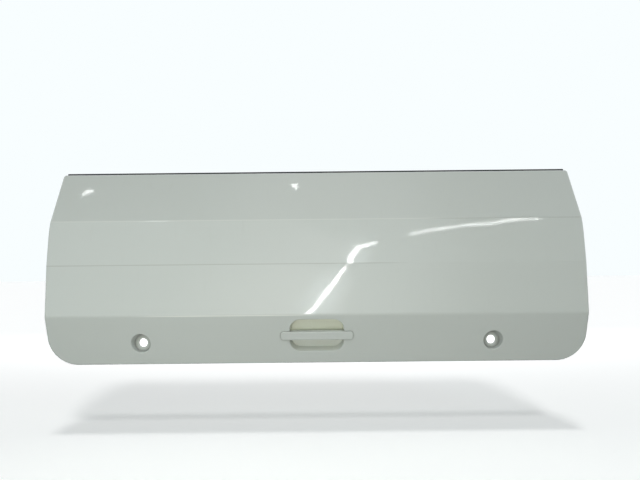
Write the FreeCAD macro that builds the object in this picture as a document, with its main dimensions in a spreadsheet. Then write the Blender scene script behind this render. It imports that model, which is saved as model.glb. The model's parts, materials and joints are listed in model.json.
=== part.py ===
import FreeCAD, Part
import math
import os

import Sketcher

# Caravan gas locker door: a twin-skin moulded flap, hung along its top edge on an extruded hinge.
# X runs across the door, +Y points at the caravan's wall, +Z is up. The origin is on the wall
# rail's flat back face, in the middle of the rail. The door is shown shut.

SIZES = [
    # The panel seen from the front.
    ("door_width", 1650, "width at the bulge"),
    ("side_taper", 20.5, "top edge inside the bulge's width, at either end"),
    ("taper_drop", 177, "where the sides stop widening, below the top edge"),
    ("crease1_drop", 153, "first crease below the top edge"),
    ("crease2_drop", 289, "second crease below the top edge"),
    ("crease3_drop", 445, "third crease, the bulge, below the top edge"),
    ("lower_height", 151.5, "bottom edge below the third crease"),
    ("taper_round", 500, "bend of the sides where the taper ends"),
    ("top_corner_round", 9, "top corners of the outline"),
    ("bottom_corner_round", 85, "bottom corners of the outline"),
    ("least_round", 1, "smallest corner left where an inner outline is inset"),
    # The panel seen from the side: how far each crease lies behind the bulge.
    ("top_setback", 100, "top edge behind the bulge"),
    ("crease1_setback", 35, "first crease behind the bulge"),
    ("crease2_setback", 12, "second crease behind the bulge"),
    ("bottom_setback", 52, "bottom edge behind the bulge"),
    ("crease1_round", 20, "radius along the first crease"),
    ("crease2_round", 30, "radius along the second crease"),
    ("crease3_round", 24, "radius along the third crease"),
    ("skin_wall", 3, "wall of the outer skin"),
    ("edge_round", 6, "outer edge of the outer skin"),
    ("shell_depth", 36, "both skins together, front to back"),
    ("glue_gap", 0.2, "bond line between glued faces"),
    # The inner skin.
    ("liner_wall", 2.6, "wall of the inner skin"),
    ("liner_rim", 15, "depth of the inner skin's rim"),
    ("field_depth", 12, "pressed fields, into the door"),
    ("field_top_drop", 66, "top of the pressed fields below the top edge"),
    ("field_bottom_drop", 405, "bottom of the pressed fields below the top edge"),
    ("field_side_margin", 83, "outermost field inside the door's width, at either end"),
    ("field_rib", 44, "rib left between two fields"),
    ("field_count", 4, "pressed fields across the door"),
    ("field_corner_round", 26, "corners of a field"),
    # The perimeter seal.
    ("seal_inset", 17, "seal inside the panel's outline"),
    ("seal_top_inset", 34, "seal below the top edge"),
    ("seal_width", 12, "width of the seal"),
    ("seal_height", 10, "height of the seal"),
    # The hinge.
    ("wall_gap", 16, "hinge axis in front of the wall rail's back face"),
    ("lip_to_axis", 28, "hinge axis behind the top lip of the door"),
    ("axis_height", 11, "hinge axis above the middle of the wall rail's flange"),
    ("rail_end_inset", 7.5, "ends of the wall rail inside the corners of the top edge"),
    ("bead_radius", 3.2, "bead on the door rail"),
    ("bead_gap", 0.06, "running gap of the bead in its socket"),
    ("socket_wall", 1.35, "wall of the socket on the wall rail"),
    ("bead_neck", 1.6, "neck between the bead and the door rail's plate"),
    ("mouth_shut_angle", 18, "socket mouth behind the neck, door shut, in degrees"),
    ("mouth_open_angle", 118, "socket mouth in front of the neck, door open, in degrees"),
    ("socket_clearance", 0.6, "socket above the door rail's plate"),
    ("rail_plate", 1.8, "thickness of the door rail's plate"),
    ("plate_front", 9, "door rail's plate in front of the axis"),
    ("rebate_depth", 4, "rebate for the rail in the top edge of the door"),
    ("rebate_setback", 13, "rebate behind the top lip"),
    ("flange_height", 24, "wall rail's flange"),
    ("flange_wall", 2.5, "thickness of the wall rail's flange"),
    ("web_wall", 2.5, "web between flange and socket"),
    ("rail_hole_radius", 2.6, "screw holes in the wall rail"),
    ("rail_hole_pitch", 200, "spacing of the screw holes"),
    ("rail_hole_drop", 4, "screw holes below the middle of the flange"),
    ("cap_wall", 3, "end caps of the wall rail"),
    ("cap_gap", 0.3, "bead's end to the end cap"),
    # The two lock cups.
    ("lock_spacing", 1080, "between the two lock holes"),
    ("lock_drop", 85, "lock holes below the bulge"),
    ("cup_mouth_radius", 29.5, "cup at the panel's face"),
    ("cup_floor_radius", 25, "cup at its floor"),
    ("cup_depth", 28, "cup floor behind the panel's face"),
    ("cup_rim_round", 2.5, "soft edge round the cup's mouth"),
    ("lock_hole_radius", 13.25, "hole for the lock barrel"),
    ("landing_radius", 34, "inner skin's round seat, glued to the back of a lock cup"),
    # The handle.
    ("recess_width", 165, "hand recess, across"),
    ("recess_height", 105, "hand recess, along the slope"),
    ("recess_drop", 67, "middle of the recess below the bulge, along the slope"),
    ("recess_round", 33, "corners of the recess"),
    ("recess_rim_round", 2.4, "soft rim of the recess"),
    ("pan_depth", 27, "pan floor behind the panel's face"),
    ("pan_wall", 2.4, "wall of the handle pan"),
    ("pan_draft", 8, "slope of the pan's walls, in degrees"),
    ("pan_flange", 11, "glued flange round the pan"),
    ("grip_length", 222, "grip bar, across the door"),
    ("grip_height", 26.5, "grip bar, along the slope"),
    ("grip_rise", 6.5, "lower edge of the grip bar in front of the panel"),
    ("grip_top_rise", 4, "upper edge of the grip bar in front of the panel"),
    ("grip_thickness", 8, "grip bar behind the panel's face, in the recess"),
    ("grip_end_gap", 0.5, "grip bar to the ends of the recess"),
    ("grip_corner_round", 9, "ends of the grip bar"),
    ("grip_edge_round", 2.8, "front edges of the grip bar"),
    # The gas strut brackets.
    ("strut_side_margin", 53, "middle of the bracket inside the door's width"),
    ("strut_drop", 369, "bracket below the top edge"),
    ("bracket_length", 70, "foot of the bracket, along the door"),
    ("bracket_width", 30, "foot of the bracket, across"),
    ("bracket_wall", 2.5, "steel of the bracket"),
    ("bracket_ear", 24, "ear of the bracket, out of the door"),
    ("bracket_corner_round", 9, "corners of the bracket's ear"),
    ("stud_rise", 14, "hole for the strut's ball stud, out of the door"),
    ("stud_hole_radius", 4.1, "hole for the strut's ball stud"),
]

doc = FreeCAD.newDocument("gas_locker_door")
sheet = doc.addObject("Spreadsheet::Sheet", "sizes")
for row, (alias, number, meaning) in enumerate(SIZES, start=1):
    sheet.set(f"A{row}", str(number))
    sheet.set(f"B{row}", meaning)
    sheet.setAlias(f"A{row}", alias)
doc.recompute()
NODES = []

# Lengths that several pieces share, as formulas of the sheet's cells.
LIP_Y = "(-sizes.wall_gap - sizes.lip_to_axis)"
BULGE_Y = f"({LIP_Y} - sizes.top_setback)"
SOCKET_OUTER = "(sizes.bead_radius + sizes.bead_gap + sizes.socket_wall)"
PLATE_TOP_Z = f"(sizes.axis_height - {SOCKET_OUTER} - sizes.socket_clearance)"
SHELF_Z = f"({PLATE_TOP_Z} - sizes.rail_plate)"
TOP_Z = f"({SHELF_Z} + sizes.rebate_depth)"
BULGE_Z = f"({TOP_Z} - sizes.crease3_drop)"
BOTTOM_Z = f"({BULGE_Z} - sizes.lower_height)"
TOP_SLOPE = "((sizes.top_setback - sizes.crease1_setback) / sizes.crease1_drop)"
LOWER_SLOPE = "(sizes.bottom_setback / sizes.lower_height)"
BACK_SLOPE = "(sizes.crease2_setback / (sizes.crease3_drop - sizes.crease2_drop))"
LOCK_Z = f"({BULGE_Z} - sizes.lock_drop)"
LOCK_FACE_Y = f"({BULGE_Y} + sizes.lock_drop * {LOWER_SLOPE})"
CUP_BACK = "(sizes.cup_depth + sizes.skin_wall)"
HALF_TOP = "(sizes.door_width / 2 - sizes.side_taper)"
RAIL_LENGTH = f"(2 * ({HALF_TOP} - sizes.rail_end_inset))"
FIELD_OUTER_X = "(sizes.door_width / 2 - sizes.field_side_margin)"
STRUT_X = "(sizes.door_width / 2 - sizes.strut_side_margin)"
STRUT_Z = f"({TOP_Z} - sizes.strut_drop)"
STRUT_Y = f"({BULGE_Y} + sizes.shell_depth + ({STRUT_Z} - {BULGE_Z}) * {BACK_SLOPE})"
# How far a cutting shape runs past the piece that it cuts.
PAST = 20
# How near two places are before they count as the same, in millimetres.
NEAR = 0.01
# How near 1 the product of two unit directions is before they count as the same.
ALIKE_RATIO = 0.9999
# The forward part of a face's direction: at least this on the panel's face, at most that on its sides.
FORWARD_RATIO = 0.85
SIDEWAYS_RATIO = 0.1


def value(alias):
    """A size from the sheet, in millimetres."""
    return float(sheet.get(alias))


def bind(thing, **formulas):
    """Tie properties to formulas; a double underscore stands for a dot."""
    for name, formula in formulas.items():
        thing.setExpression(name.replace("__", "."), str(formula))


def place(thing, x="0", y="0", z="0"):
    """Put an object at a point given by three formulas."""
    bind(thing, Placement__Base__x=x, Placement__Base__y=y, Placement__Base__z=z)


def turn(thing, axis, formula):
    """Turn an object about an axis by a formula in degrees."""
    thing.Placement = FreeCAD.Placement(FreeCAD.Vector(), FreeCAD.Rotation(FreeCAD.Vector(*axis), 1))
    bind(thing, Placement__Rotation__Angle=formula)


def node(thing, label):
    """Mark an object as one piece of the door."""
    thing.Label = label
    NODES.append(thing)
    return thing


def origin_plane(body, role):
    """One of a body's own origin planes, such as XZ_Plane."""
    return next(item for item in body.Origin.OriginFeatures if item.Role == role)


def sketch_on(body, role, name):
    """An empty sketch on one of the body's origin planes."""
    sketch = body.newObject("Sketcher::SketchObject", name)
    sketch.AttachmentSupport = [(origin_plane(body, role), "")]
    sketch.MapMode = "FlatFace"
    return sketch


def draw_polygon(sketch, corners):
    """A closed outline whose corners are pairs of formulas."""
    count = len(corners)
    start = FreeCAD.Vector(PAST, 0, 0)
    around = FreeCAD.Vector(0, 0, 1)
    guess = [FreeCAD.Rotation(around, 360 * i / count).multVec(start) for i in range(count)]
    for i in range(count):
        sketch.addGeometry(Part.LineSegment(guess[i], guess[(i + 1) % count]), False)
    for i in range(count):
        sketch.addConstraint(Sketcher.Constraint("Coincident", i, 2, (i + 1) % count, 1))
    for i, (across, up) in enumerate(corners):
        for kind, formula, first in (("DistanceX", across, guess[i].x), ("DistanceY", up, guess[i].y)):
            number = sketch.addConstraint(Sketcher.Constraint(kind, -1, 1, i, 1, first))
            name = f"{kind.lower()}_{i}"
            sketch.renameConstraint(number, name)
            sketch.setExpression(f"Constraints.{name}", str(formula))


def padded(name, role, corners, length):
    """A body: a polygon on an origin plane, padded evenly to both sides."""
    body = doc.addObject("PartDesign::Body", name)
    sketch = sketch_on(body, role, f"{name}_sketch")
    draw_polygon(sketch, corners)
    pad = body.newObject("PartDesign::Pad", f"{name}_pad")
    pad.Profile = sketch
    pad.SideType = "Symmetric"
    bind(pad, Length=length)
    sketch.Visibility = False
    doc.recompute()
    return body


def rounded(body, wanted, formula):
    """Fillet those edges of a body for which wanted(edge) holds."""
    names = [f"Edge{i}" for i, edge in enumerate(body.Shape.Edges, start=1) if wanted(edge)]
    base = body.Tip
    fillet = body.newObject("PartDesign::Fillet", f"{body.Name}_round")
    fillet.Base = (base, names)
    bind(fillet, Radius=formula)
    body.Tip = fillet
    doc.recompute()
    return body


def cut(name, base, tool):
    result = doc.addObject("Part::Cut", name)
    result.Base = base
    result.Tool = tool
    return result


def fuse(name, pieces):
    result = doc.addObject("Part::MultiFuse", name)
    result.Shapes = pieces
    return result


def common(name, pieces):
    result = doc.addObject("Part::MultiCommon", name)
    result.Shapes = pieces
    return result


def box(name, low, size):
    """A box from its low corner and its three lengths, all formulas."""
    result = doc.addObject("Part::Box", name)
    bind(result, Length=size[0], Width=size[1], Height=size[2])
    place(result, *low)
    return result


def cylinder(name, radius, length, axis, centre):
    """A cylinder along +X or -Y from its first end's centre."""
    result = doc.addObject("Part::Cylinder", name)
    bind(result, Radius=radius, Height=length)
    turn(result, (0, 1, 0) if axis == "X" else (1, 0, 0), "90")
    place(result, *centre)
    return result


def runs_along(edge, axis):
    """Does a straight edge run along this axis?"""
    if edge.Curve.TypeId != "Part::GeomLine":
        return False
    return abs(edge.Curve.Direction.dot(FreeCAD.Vector(*axis))) > ALIKE_RATIO


def section(name, front, back, length):
    """The panel's side view as a thick bent plate, between two depths behind its face."""
    creases = [
        (f"{BULGE_Y} + sizes.top_setback + {PAST} * {TOP_SLOPE}", f"{TOP_Z} + {PAST}"),
        (f"{BULGE_Y} + sizes.crease1_setback", f"{TOP_Z} - sizes.crease1_drop"),
        (f"{BULGE_Y} + sizes.crease2_setback", f"{TOP_Z} - sizes.crease2_drop"),
        (BULGE_Y, BULGE_Z),
        (f"{BULGE_Y} + sizes.bottom_setback + {PAST} * {LOWER_SLOPE}", f"{BOTTOM_Z} - {PAST}"),
    ]
    near = [(f"{y} + {front}", z) for y, z in creases]
    far = [(f"{y} + {back}", z) for y, z in reversed(creases)]
    body = padded(name, "YZ_Plane", near + far, length)
    rounds = []
    for crease in ("crease1", "crease2", "crease3"):
        height = height_of(f"{crease}_drop")
        radius = value(f"{crease}_round")
        for i, edge in enumerate(body.Shape.Edges, start=1):
            if runs_along(edge, (1, 0, 0)) and at_height(edge, height):
                rounds.append((i, radius, radius))
    return filleted(f"{name}_creased", body, rounds)


def filleted(name, base, rounds):
    """Round edges, each given by its number and its radius at either end."""
    result = doc.addObject("Part::Fillet", name)
    result.Base = base
    result.Edges = rounds
    doc.recompute()
    return result


def height_of(drop):
    """Height of something that a size places below the top edge, worked out as its formula is."""
    socket = value("bead_radius") + value("bead_gap") + value("socket_wall")
    shelf = value("axis_height") - socket - value("socket_clearance") - value("rail_plate")
    return shelf + value("rebate_depth") - value(drop)


def at_height(edge, height):
    return abs(edge.CenterOfMass.z - height) < NEAR


def outline(name, inset, top_inset):
    """The panel's front view as a prism, smaller all round by an inset."""
    half_top = f"{HALF_TOP} - {inset}"
    half = f"sizes.door_width / 2 - {inset}"
    corners = [
        (f"-({half_top})", f"{TOP_Z} - {top_inset}"),
        (f"-({half})", f"{TOP_Z} - sizes.taper_drop"),
        (f"-({half})", f"{BOTTOM_Z} + {inset}"),
        (half, f"{BOTTOM_Z} + {inset}"),
        (half, f"{TOP_Z} - sizes.taper_drop"),
        (half_top, f"{TOP_Z} - {top_inset}"),
    ]
    reach = f"2 * ({LIP_Y} * -1 + sizes.top_setback + {PAST})"
    body = padded(name, "XZ_Plane", corners, reach)
    top = body.Shape.BoundBox.ZMax
    bottom = body.Shape.BoundBox.ZMin
    for height, radius in (
        (bottom, f"sizes.bottom_corner_round - {inset}"),
        (height_of("taper_drop"), "sizes.taper_round"),
        (top, f"max(sizes.top_corner_round - {inset}; sizes.least_round)"),
    ):
        rounded(body, lambda edge: runs_along(edge, (0, 1, 0)) and at_height(edge, height), radius)
    return body


def slab(name, front, back, inset, top_inset=None):
    """The panel's form between two depths, inside its outline by an inset."""
    side = section(f"{name}_side", front, back, f"sizes.door_width + 2 * {PAST}")
    plan = outline(f"{name}_plan", inset, top_inset or inset)
    result = common(name, [side, plan])
    doc.recompute()
    return result


def round_front(name, base):
    """Round the front perimeter of the panel: the edges where its face meets its sides."""
    radius = value("edge_round")
    rounds = []
    for i, edge in enumerate(base.Shape.Edges, start=1):
        if is_front_rim(base.Shape, edge):
            rounds.append((i, radius, radius))
    return filleted(name, base, rounds)


def is_front_rim(shape, edge):
    """Does one of the edge's two faces look forward and the other sideways, up or down?"""
    faces = shape.ancestorsOfType(edge, Part.Face)
    if len(faces) != 2:
        return False
    middle = edge.valueAt((edge.FirstParameter + edge.LastParameter) / 2)
    looks = []
    for face in faces:
        u, v = face.Surface.parameter(middle)
        looks.append(face.normalAt(u, v).y)
    return min(looks) < -FORWARD_RATIO and max(looks) > -SIDEWAYS_RATIO


def lower_frame(thing):
    """Set an object on the lower facet by the handle: its +Z points out of the panel, its +Y up it."""
    thing.Placement = FreeCAD.Placement(
        FreeCAD.Vector(), FreeCAD.Rotation(FreeCAD.Vector(1, 0, 0), 90)
    )
    bind(
        thing,
        Placement__Rotation__Angle=f"90 deg + atan({LOWER_SLOPE})",
        Placement__Base__y=f"{BULGE_Y} + sizes.recess_drop * sin(atan({LOWER_SLOPE}))",
        Placement__Base__z=f"{BULGE_Z} - sizes.recess_drop * cos(atan({LOWER_SLOPE}))",
    )


def recess_prism(name, grow, depth_low, depth_high, draft="0"):
    """The rounded outline of the hand recess as a prism, between two heights over the panel's face."""
    body = doc.addObject("PartDesign::Body", name)
    sketch = sketch_on(body, "XY_Plane", f"{name}_sketch")
    half_width = f"sizes.recess_width / 2 + {grow}"
    half_height = f"sizes.recess_height / 2 + {grow}"
    draw_polygon(sketch, [
        (f"-({half_width})", f"-({half_height})"),
        (half_width, f"-({half_height})"),
        (half_width, half_height),
        (f"-({half_width})", half_height),
    ])
    bind(sketch, AttachmentOffset__Base__z=depth_high)
    pad = body.newObject("PartDesign::Pad", f"{name}_pad")
    pad.Profile = sketch
    pad.Reversed = True
    bind(pad, Length=f"{depth_high} - ({depth_low})")
    doc.recompute()
    rounded(body, lambda edge: runs_along(edge, (0, 0, 1)), f"sizes.recess_round + {grow}")
    if draft != "0":
        lean(body, draft)
    lower_frame(body)
    doc.recompute()
    return body


def lean(body, formula):
    """Draft the upright walls of a body so that it narrows away from its top face."""
    walls = []
    top = None
    for i, face in enumerate(body.Shape.Faces, start=1):
        normal = face.normalAt(0, 0)
        if normal.z > ALIKE_RATIO:
            top = f"Face{i}"
        elif normal.z > -ALIKE_RATIO:
            walls.append(f"Face{i}")
    base = body.Tip
    draft = body.newObject("PartDesign::Draft", f"{body.Name}_draft")
    draft.Base = (base, walls)
    draft.NeutralPlane = (base, [top])
    draft.Reversed = True
    bind(draft, Angle=formula)
    body.Tip = draft
    doc.recompute()


def mirrored(label, source):
    """The same piece on the other side of the door."""
    result = doc.addObject("Part::Mirroring", label)
    result.Source = source
    result.Base = (0, 0, 0)
    result.Normal = (1, 0, 0)
    return node(result, label)


def cup_cone(name, extra, front_past, back):
    """A lock cup's cone, from in front of the panel to a depth behind its face, by the right lock."""
    taper = "((sizes.cup_mouth_radius - sizes.cup_floor_radius) / sizes.cup_depth)"
    cone = doc.addObject("Part::Cone", name)
    bind(
        cone,
        Radius1=f"sizes.cup_floor_radius + {extra} - ({back} - sizes.cup_depth) * {taper}",
        Radius2=f"sizes.cup_mouth_radius + {extra} + {front_past} * {taper}",
        Height=f"{back} + {front_past}",
    )
    turn(cone, (1, 0, 0), "90")
    place(cone, "sizes.lock_spacing / 2", f"{LOCK_FACE_Y} + {back}", LOCK_Z)
    return cone


def both_sides(name, source):
    """An object and its mirror image as one tool."""
    other = doc.addObject("Part::Mirroring", f"{name}_other")
    other.Source = source
    other.Base = (0, 0, 0)
    other.Normal = (1, 0, 0)
    return fuse(name, [source, other])


def outer_skin():
    """The glossy front moulding with its returned edges, lock cups and handle opening."""
    form = slab("skin_form", "0", "sizes.shell_depth", "0")
    form = round_front("skin_form_round", form)
    hollow = slab("skin_hollow", "sizes.skin_wall", f"sizes.shell_depth + {PAST}", "sizes.skin_wall")
    rebate = box(
        "rebate",
        ("-sizes.door_width / 2", f"{LIP_Y} + sizes.rebate_setback", SHELF_Z),
        ("sizes.door_width", "2 * sizes.shell_depth", f"{PAST}"),
    )
    shelf = box(
        "shelf_wall",
        ("-sizes.door_width / 2", f"{LIP_Y} + sizes.rebate_setback - sizes.skin_wall",
         f"{SHELF_Z} - sizes.skin_wall"),
        ("sizes.door_width", "2 * sizes.shell_depth", f"{PAST}"),
    )
    shell = cut("skin_shell", cut("skin_outside", form, rebate), cut("skin_inside", hollow, shelf))
    cup_outside = common("cup_outside", [
        both_sides("cup_bosses", cup_cone("cup_boss", "sizes.skin_wall", f"{PAST}", CUP_BACK)),
        slab("cup_limit", "sizes.skin_wall / 2", "2 * sizes.shell_depth", "sizes.skin_wall"),
    ])
    with_cups = fuse("skin_with_cups", [shell, cup_outside])
    cups = both_sides("cups", cup_cone("cup", "0", f"{PAST}", "sizes.cup_depth"))
    holes = both_sides("lock_holes", lock_hole("lock_hole"))
    opening = recess_prism("handle_opening", "0", f"-{PAST}", f"{PAST}")
    cutters = fuse("skin_cutters", [cups, holes, opening])
    skin = cut("skin_cut", with_cups, cutters)
    doc.recompute()
    return node(soften_rims(skin), "outer_skin")


def lock_hole(name):
    """The barrel hole of the right lock, through everything behind the cup."""
    return cylinder(
        name, "sizes.lock_hole_radius", "2 * sizes.shell_depth", "Y",
        ("sizes.lock_spacing / 2", f"{LOCK_FACE_Y} + 2 * sizes.shell_depth", LOCK_Z),
    )


def soften_rims(skin):
    """Round the mouths of the lock cups and of the handle opening."""
    slope = math.atan(value("bottom_setback") / value("lower_height"))
    facet = FreeCAD.Vector(0, -math.cos(slope), -math.sin(slope))
    edges = []
    for face in skin.Shape.Faces:
        if face.Surface.TypeId == "Part::GeomPlane" and face.normalAt(0, 0).dot(facet) > ALIKE_RATIO:
            for wire in face.Wires:
                if not wire.isSame(face.OuterWire):
                    edges.extend(wire.Edges)
    soft = []
    for i, edge in enumerate(skin.Shape.Edges, start=1):
        if any(edge.isSame(other) for other in edges):
            in_cup = abs(edge.CenterOfMass.x) > value("recess_width")
            radius = value("cup_rim_round") if in_cup else value("recess_rim_round")
            soft.append((i, radius, radius))
    return filleted("skin_soft_rims", skin, soft)


def inner_skin():
    """The liner: a shallow tray glued in from behind, with pressed fields between upright ribs."""
    inset = "(sizes.skin_wall + sizes.glue_gap)"
    top = f"(sizes.rebate_depth + {inset})"
    tray = cut(
        "liner_tray",
        slab("liner_form", "(sizes.shell_depth - sizes.liner_rim)", "sizes.shell_depth", inset, top),
        slab("liner_hollow", f"-{PAST}", "(sizes.shell_depth - sizes.liner_wall)",
             f"({inset} + sizes.liner_wall)", f"({top} + sizes.liner_wall)"),
    )
    tubs = []
    pockets = []
    for number in range(round(value("field_count"))):
        tubs.append(field(f"tub_{number}", number, "sizes.liner_wall",
                          "(sizes.shell_depth - sizes.field_depth - sizes.liner_wall)",
                          "sizes.shell_depth"))
        pockets.append(field(f"pocket_{number}", number, "0",
                             "(sizes.shell_depth - sizes.field_depth)", f"sizes.shell_depth + {PAST}"))
    pockets.append(both_sides("landing_sites", landing_cylinder(
        "landing_site", "sizes.landing_radius", f"-{PAST}", f"{PAST}")))
    pressed = cut("liner_pressed", fuse("liner_fuse", [tray] + tubs), fuse("liner_pockets", pockets))
    landings = both_sides("landings", lock_landing())
    liner = cut("liner_cut", fuse("liner_landed", [pressed, landings]),
                both_sides("liner_lock_holes", lock_hole("liner_lock_hole")))
    return node(liner, "inner_skin")


def landing_cylinder(name, radius, front_past, back_past):
    """A disc on the back of the right lock cup, as thick as the liner and more on either side."""
    return cylinder(
        name, radius, f"sizes.liner_wall + {back_past} - ({front_past})", "Y",
        ("sizes.lock_spacing / 2", f"{LOCK_FACE_Y} + {CUP_BACK} + sizes.liner_wall + {back_past}", LOCK_Z),
    )


def lock_landing():
    """The liner's round upright seat on the back of the right lock cup, with its short wall."""
    inner = "(sizes.landing_radius - sizes.liner_wall)"
    plate = landing_cylinder("landing_plate", "sizes.landing_radius", "0", "0")
    upper = cut(
        "landing_upper_tube",
        landing_cylinder("landing_upper", "sizes.landing_radius", f"-{PAST}", "0"),
        landing_cylinder("landing_upper_bore", inner, f"-{PAST}", "0"),
    )
    lower = cut(
        "landing_lower_tube",
        landing_cylinder("landing_lower", "sizes.landing_radius", "0", f"{PAST}"),
        landing_cylinder("landing_lower_bore", inner, "0", f"{PAST}"),
    )
    behind = section("landing_behind", "(sizes.shell_depth - sizes.liner_wall)",
                     "3 * sizes.shell_depth", "sizes.door_width")
    ahead = section("landing_ahead", f"-{PAST}", "sizes.shell_depth", "sizes.door_width")
    return fuse("landing", [plate, common("landing_top", [upper, behind]),
                            common("landing_bottom", [lower, ahead])])


def field(name, number, grow, front, back):
    """One pressed field of the liner, counted from the left."""
    pitch = f"((2 * {FIELD_OUTER_X} + sizes.field_rib) / sizes.field_count)"
    left = f"(-{FIELD_OUTER_X} + {number} * {pitch})"
    right = f"({left} + {pitch} - sizes.field_rib)"
    corners = [
        (f"{left} - {grow}", f"{TOP_Z} - sizes.field_bottom_drop - {grow}"),
        (f"{right} + {grow}", f"{TOP_Z} - sizes.field_bottom_drop - {grow}"),
        (f"{right} + {grow}", f"{TOP_Z} - sizes.field_top_drop + {grow}"),
        (f"{left} - {grow}", f"{TOP_Z} - sizes.field_top_drop + {grow}"),
    ]
    reach = f"2 * ({LIP_Y} * -1 + sizes.top_setback + {PAST})"
    plan = padded(f"{name}_plan", "XZ_Plane", corners, reach)
    rounded(plan, lambda edge: runs_along(edge, (0, 1, 0)), f"sizes.field_corner_round + {grow}")
    side = section(f"{name}_side", front, back, f"sizes.door_width + 2 * {PAST}")
    return common(name, [side, plan])


def perimeter_seal():
    """The rubber seal that runs round the back of the door."""
    outer = slab("seal_outer", "sizes.shell_depth", "(sizes.shell_depth + sizes.seal_height)",
                 "sizes.seal_inset", "sizes.seal_top_inset")
    inner = slab("seal_inner", "0", f"(sizes.shell_depth + sizes.seal_height + {PAST})",
                 "(sizes.seal_inset + sizes.seal_width)", "(sizes.seal_top_inset + sizes.seal_width)")
    node(cut("seal_ring", outer, inner), "perimeter_seal")


def rail_bar(name, low_y, high_y, low_z, high_z, length=RAIL_LENGTH):
    """A long flat bar of a hinge rail."""
    return box(name, (f"-{length} / 2", low_y, low_z),
               (length, f"{high_y} - ({low_y})", f"{high_z} - ({low_z})"))


def hinge_rod(name, radius, length):
    """A round bar on the hinge axis, even about the middle of the door."""
    return cylinder(name, radius, length, "X", (f"-({length}) / 2", "-sizes.wall_gap", "sizes.axis_height"))


def wall_hinge_rail():
    """The caravan's half of the hinge: a screwed flange, a web and an open round socket."""
    flange = rail_bar("wall_flange", "-sizes.flange_wall", "0",
                      "-sizes.flange_height / 2", "sizes.flange_height / 2")
    web = rail_bar("wall_web", "-sizes.wall_gap", "-sizes.flange_wall / 2",
                   "sizes.axis_height - sizes.web_wall / 2", "sizes.axis_height + sizes.web_wall / 2")
    barrel = hinge_rod("socket_barrel", SOCKET_OUTER, RAIL_LENGTH)
    bore = hinge_rod("socket_bore", "sizes.bead_radius + sizes.bead_gap",
                     f"{RAIL_LENGTH} + {PAST}")
    solid = fuse("wall_rail_solid", [flange, web, barrel])
    cutters = fuse("wall_rail_cutters", [bore, socket_mouth()] + rail_holes())
    node(cut("wall_rail", solid, cutters), "wall_hinge_rail")


def socket_mouth():
    """The part of the socket's round wall that stays open for the neck, shut to open."""
    reach = f"(2 * {SOCKET_OUTER})"
    angles = ["-sizes.mouth_shut_angle", "(sizes.mouth_open_angle - sizes.mouth_shut_angle) / 2",
              "sizes.mouth_open_angle"]
    corners = [("-sizes.wall_gap", "sizes.axis_height")]
    for angle in angles:
        corners.append((f"-sizes.wall_gap - {reach} * sin({angle})",
                        f"sizes.axis_height - {reach} * cos({angle})"))
    return padded("socket_mouth", "YZ_Plane", corners, f"{RAIL_LENGTH} + {PAST}")


def rail_holes():
    """Screw holes through the wall rail's flange, in pairs about the middle."""
    holes = []
    half_length = value("door_width") / 2 - value("side_taper") - value("rail_end_inset")
    pairs = int(half_length / value("rail_hole_pitch") + 0.5)
    for pair in range(pairs):
        for side in (-1, 1):
            x = f"{side * (pair + 0.5)} * sizes.rail_hole_pitch"
            holes.append(cylinder(
                f"rail_hole_{len(holes)}", "sizes.rail_hole_radius", f"{PAST}", "Y",
                (x, f"{PAST} / 2", "-sizes.rail_hole_drop"),
            ))
    return holes


def rail_end_caps():
    """Plastic caps that close the wall rail's ends and keep the bead in."""
    start = f"{RAIL_LENGTH} / 2"
    disc = cylinder("cap_disc", SOCKET_OUTER, "sizes.cap_wall", "X",
                    (start, "-sizes.wall_gap", "sizes.axis_height"))
    web = box("cap_web", (start, "-sizes.wall_gap", "sizes.axis_height - sizes.web_wall / 2"),
              ("sizes.cap_wall", "sizes.wall_gap", "sizes.web_wall"))
    flange = box("cap_flange", (start, "-sizes.flange_wall", "-sizes.flange_height / 2"),
                 ("sizes.cap_wall", "sizes.flange_wall", "sizes.flange_height"))
    right = node(fuse("cap_right", [disc, web, flange]), "rail_end_cap_right")
    mirrored("rail_end_cap_left", right)


def door_hinge_rail():
    """The door's half of the hinge: a bead, a neck and a plate riveted into the rebate."""
    length = f"({RAIL_LENGTH} - 2 * sizes.cap_gap)"
    bead = hinge_rod("bead", "sizes.bead_radius", length)
    neck = rail_bar("neck", "-sizes.wall_gap - sizes.bead_neck / 2",
                    "-sizes.wall_gap + sizes.bead_neck / 2",
                    f"{PLATE_TOP_Z} - sizes.rail_plate / 2", "sizes.axis_height", length)
    plate = rail_bar("plate", "-sizes.wall_gap - sizes.plate_front",
                     f"{LIP_Y} + sizes.shell_depth - sizes.skin_wall",
                     SHELF_Z, PLATE_TOP_Z, length)
    node(fuse("door_rail", [bead, neck, plate]), "door_hinge_rail")


def handle_pan():
    """The tub behind the hand recess, glued to the back of the outer skin."""
    floor = "-sizes.pan_depth"
    face = "-sizes.skin_wall"
    tub = recess_prism("pan_tub", "sizes.pan_wall", f"{floor} - sizes.pan_wall", face, "sizes.pan_draft")
    flange = recess_prism("pan_flange_plate", "sizes.pan_flange", f"{face} - sizes.pan_wall", face)
    void = recess_prism("pan_void", "0", floor, face, "sizes.pan_draft")
    node(cut("pan", fuse("pan_solid", [tub, flange]), void), "handle_pan")


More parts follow.
